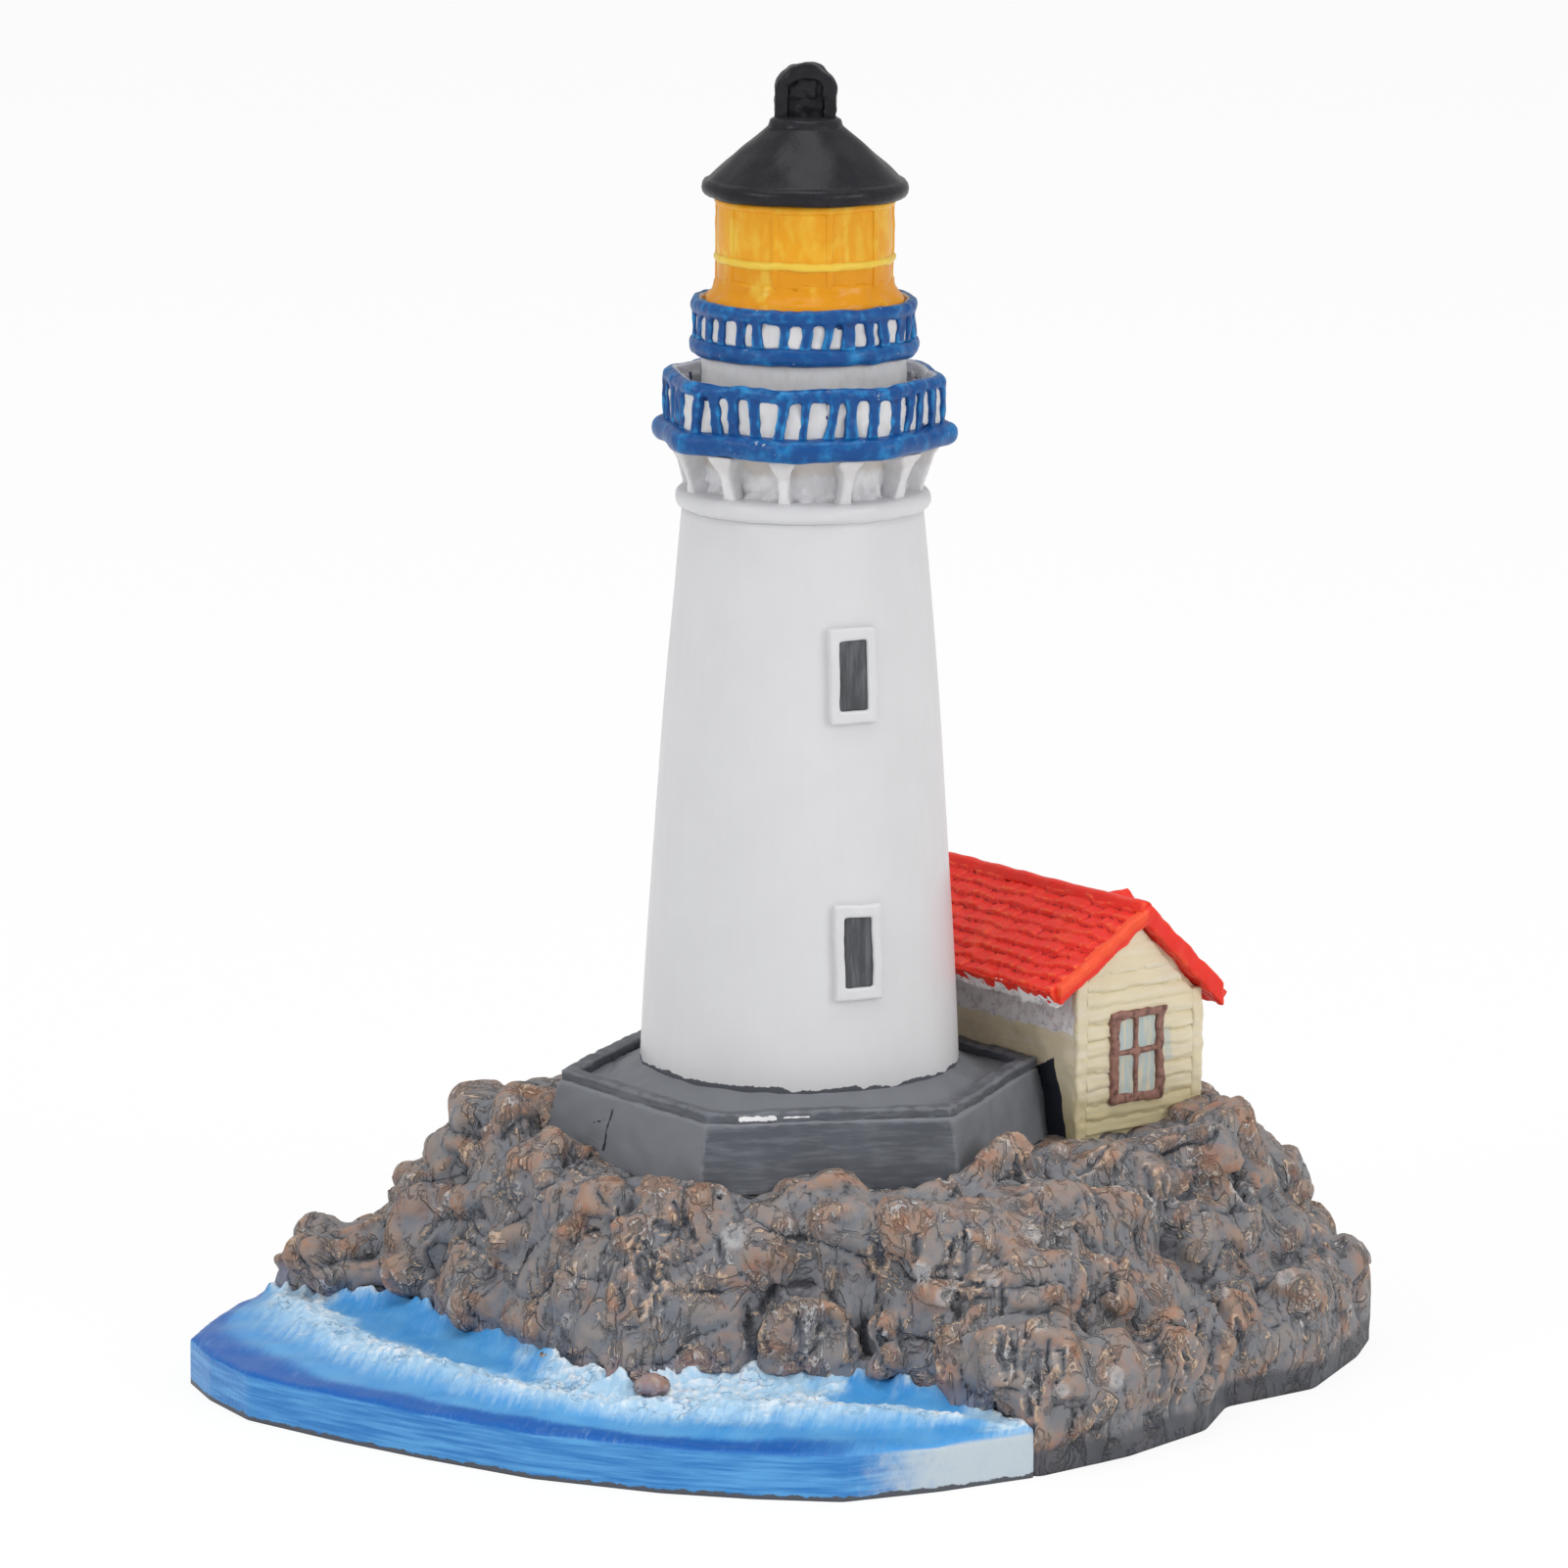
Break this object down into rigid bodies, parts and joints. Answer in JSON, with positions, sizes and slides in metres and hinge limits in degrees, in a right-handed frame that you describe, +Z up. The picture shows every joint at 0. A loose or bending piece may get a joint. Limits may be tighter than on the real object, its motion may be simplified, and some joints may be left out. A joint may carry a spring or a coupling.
{
  "type": "lighthouse figurine",
  "caption": "Round tapering lighthouse with galleries and a lantern, on a rocky headland with a plinth, a small gabled cottage and a strip of sea",
  "frame": {"origin": "on the flat underside, below the axis of the tower", "axes": "+Z up along the tower's axis; -Y is the display side, where the sea lies; +X is to the viewer's right"},
  "size_m": [0.1267, 0.1041, 0.14],
  "materials": {
    "rock_paint": "grey and copper-brown dry-brushed paint, low sheen",
    "sea_paint": "streaked blue paint, soft gloss",
    "foam_paint": "white over blue, rough brushed",
    "plinth_paint": "dark grey with paler worn edges",
    "tower_paint": "white, soft gloss",
    "gallery_blue": "blue brushed over white, soft gloss",
    "gallery_white": "white, low sheen",
    "window_grey": "dark grey, soft gloss",
    "lantern_yellow": "golden yellow, soft gloss",
    "roof_black": "black, glossy",
    "cottage_cream": "cream, low sheen",
    "cottage_white": "white over grey, brushed",
    "roof_red": "red with orange edges, low sheen",
    "window_brown": "mauve-brown brushed over cream",
    "window_pale_blue": "pale blue over white"
  },
  "bodies": {
    "root": {"rock_mound": "rock_paint", "boulders_left": "rock_paint", "boulders_front": "rock_paint", "boulders_right": "rock_paint", "boulders_back": "rock_paint", "sea_slab": "sea_paint", "surf_ridge": "foam_paint", "shore_foam": "foam_paint", "plinth_block": "plinth_paint", "plinth_coping": "plinth_paint", "plinth_deck": "plinth_paint", "tower_shaft": "tower_paint", "tower_window_frame_lower": "tower_paint", "tower_window_frame_upper": "tower_paint", "tower_neck_ring": "tower_paint", "corbel_drum": "tower_paint", "corbel_brackets": "tower_paint", "watch_room_drum": "tower_paint", "lower_gallery_parapet": "gallery_white", "upper_gallery_parapet": "gallery_white", "lower_gallery_deck": "gallery_blue", "lower_gallery_handrail": "gallery_blue", "lower_gallery_balusters": "gallery_blue", "upper_gallery_deck": "gallery_blue", "upper_gallery_handrail": "gallery_blue", "upper_gallery_balusters": "gallery_blue", "tower_window_pane_lower": "window_grey", "tower_window_pane_upper": "window_grey", "lantern_sill": "lantern_yellow", "lantern_glazing": "lantern_yellow", "lantern_belt_rail": "lantern_yellow", "lantern_head_ring": "lantern_yellow", "lantern_mullions": "lantern_yellow", "lantern_roof": "roof_black", "roof_collar": "roof_black", "finial_loop": "roof_black", "finial_web": "roof_black", "cottage_walls": "cottage_cream", "cottage_corner_boards": "cottage_cream", "cottage_clapboards": "cottage_cream", "cottage_eave_fascia": "cottage_white", "cottage_roof_left": "roof_red", "cottage_roof_right": "roof_red", "cottage_rake_boards": "roof_red", "cottage_ridge_cap": "roof_red", "cottage_dormer": "roof_red", "cottage_window_frame": "window_brown", "cottage_window_muntins": "window_brown", "cottage_window_pane": "window_pale_blue"}
  },
  "joints": []
}
